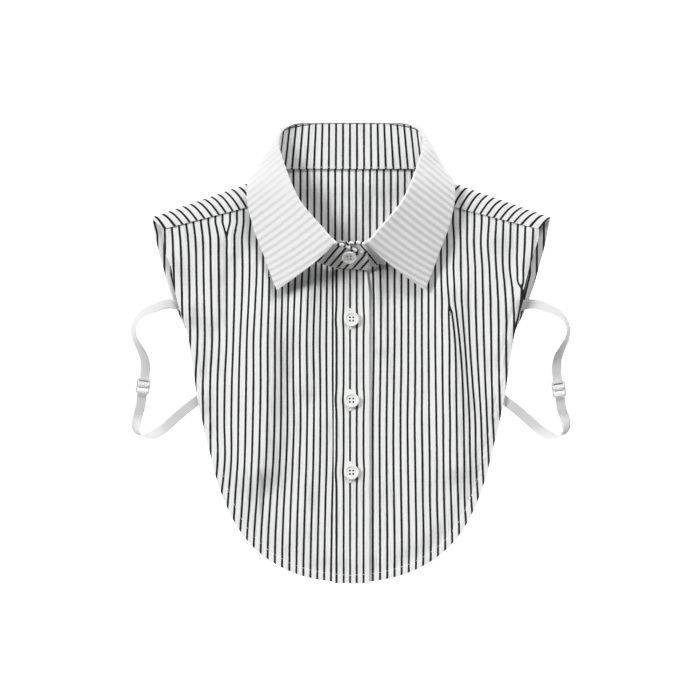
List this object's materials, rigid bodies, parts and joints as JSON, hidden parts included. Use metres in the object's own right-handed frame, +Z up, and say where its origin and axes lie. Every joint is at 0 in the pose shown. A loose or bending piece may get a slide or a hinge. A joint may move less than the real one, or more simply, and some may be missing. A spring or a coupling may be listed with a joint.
{
  "type": "detachable shirt front with collar",
  "caption": "Detachable shirt front laid flat: striped poplin fronts and back bib, button band, buttoned collar stand with pointed fall, and elastic side straps with slide adjusters.",
  "frame": {"origin": "on the table under the middle of the button band, between its upper and middle buttons", "axes": "+X the viewer's right, across the shirt front, +Y from the hem towards the collar, +Z up from the table, the way the fronts face"},
  "size_m": [0.3736, 0.3912, 0.0285],
  "materials": {
    "striped_cotton": "white cotton poplin, woven with fine near-black stripes 6 mm apart and pale grey shadow bands",
    "collar_cotton": "white cotton poplin with pale grey shadow stripes 6 mm apart",
    "button": "white polyester shirt button, turned and polished",
    "elastic": "white woven elastic, 8 mm wide",
    "slider": "white moulded nylon, smooth"
  },
  "bodies": {
    "root": {"back_bib": "striped_cotton", "front_right": "striped_cotton", "front_left": "striped_cotton", "placket": "striped_cotton", "collar_stand": "striped_cotton", "collar_fall": "collar_cotton", "button_stand": "button", "button_1": "button", "button_2": "button", "button_3": "button", "strap_upper_left": "elastic", "strap_upper_right": "elastic", "strap_lower_left": "elastic", "strap_lower_right": "elastic", "slider_left": "slider", "slider_right": "slider"}
  },
  "joints": []
}
